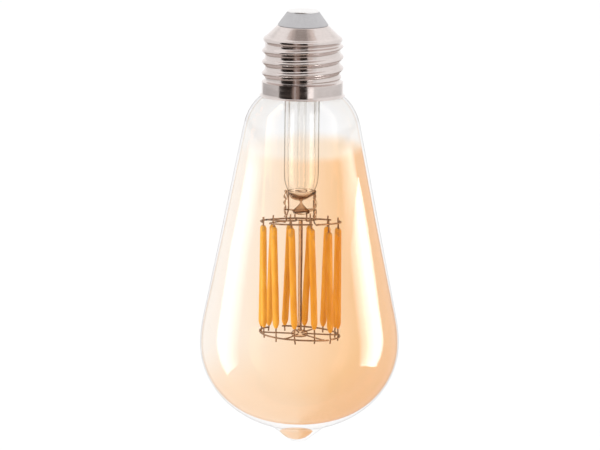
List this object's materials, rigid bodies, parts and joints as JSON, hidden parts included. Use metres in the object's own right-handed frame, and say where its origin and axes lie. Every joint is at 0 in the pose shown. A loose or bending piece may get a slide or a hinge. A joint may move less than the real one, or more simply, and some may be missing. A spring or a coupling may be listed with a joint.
{
  "type": "smart light bulb",
  "caption": "Pear-shaped amber glass lamp on an E27 screw cap, with upright LED filaments on two wire crowns and a radio-controlled driver inside the cap.",
  "frame": {"origin": "centre of the end contact's outer face, at the top of the screw cap", "axes": "+Z along the lamp's axis, out of the cap; the glass hangs down along -Z and the front is -Y"},
  "size_m": [0.0642, 0.0642, 0.1408],
  "materials": {
    "nickel": "polished nickel plate",
    "insulator": "matt grey moulding",
    "sleeve": "translucent film",
    "cement": "baked cement",
    "amber_glass": "clear glass with a gold lustre inside",
    "stem_glass": "clear lead-free stem glass",
    "bead_glass": "fused glass bead",
    "support_wire": "drawn wire, slightly oxidised",
    "phosphor": "orange phosphor in silicone",
    "circuit_board": "green solder resist",
    "radio_board": "blue solder resist",
    "chip": "moulded epoxy",
    "capacitor_sleeve": "shrunk sleeve",
    "ferrite": "sintered ferrite",
    "copper": "enamelled copper",
    "resistor_body": "lacquered ceramic",
    "tinplate": "tinned sheet",
    "gold_plate": "gold flash",
    "red_insulation": "PVC",
    "blue_insulation": "PVC"
  },
  "bodies": {
    "root": {"end_contact": "nickel", "contact_insulator": "insulator", "screw_shell": "nickel", "insulating_sleeve": "sleeve", "basing_cement": "cement", "glass_envelope": "amber_glass", "stem_tube": "stem_glass", "exhaust_tube": "stem_glass", "stem_press": "stem_glass", "centre_rod": "stem_glass", "rod_bead": "bead_glass", "lead_wire_left": "support_wire", "lead_wire_right": "support_wire", "upper_wire_front": "support_wire", "upper_wire_right": "support_wire", "upper_wire_rear": "support_wire", "lower_wire_front": "support_wire", "lower_wire_rear": "support_wire", "upper_supports": "support_wire", "lower_supports": "support_wire", "filament_pins": "support_wire", "driver_board": "circuit_board", "bridge_rectifier": "chip", "smoothing_capacitor": "capacitor_sleeve", "inductor_core": "ferrite", "inductor_winding": "copper", "driver_chip": "chip", "fusible_resistor": "resistor_body", "radio_module": "radio_board", "radio_shield": "tinplate", "antenna_trace": "gold_plate", "module_pins": "gold_plate", "live_wire": "red_insulation", "neutral_wire": "blue_insulation", "filament_01": "phosphor", "filament_02": "phosphor", "filament_03": "phosphor", "filament_04": "phosphor", "filament_05": "phosphor", "filament_06": "phosphor", "filament_07": "phosphor", "filament_08": "phosphor", "filament_09": "phosphor", "filament_10": "phosphor", "filament_11": "phosphor", "filament_12": "phosphor"}
  },
  "joints": []
}
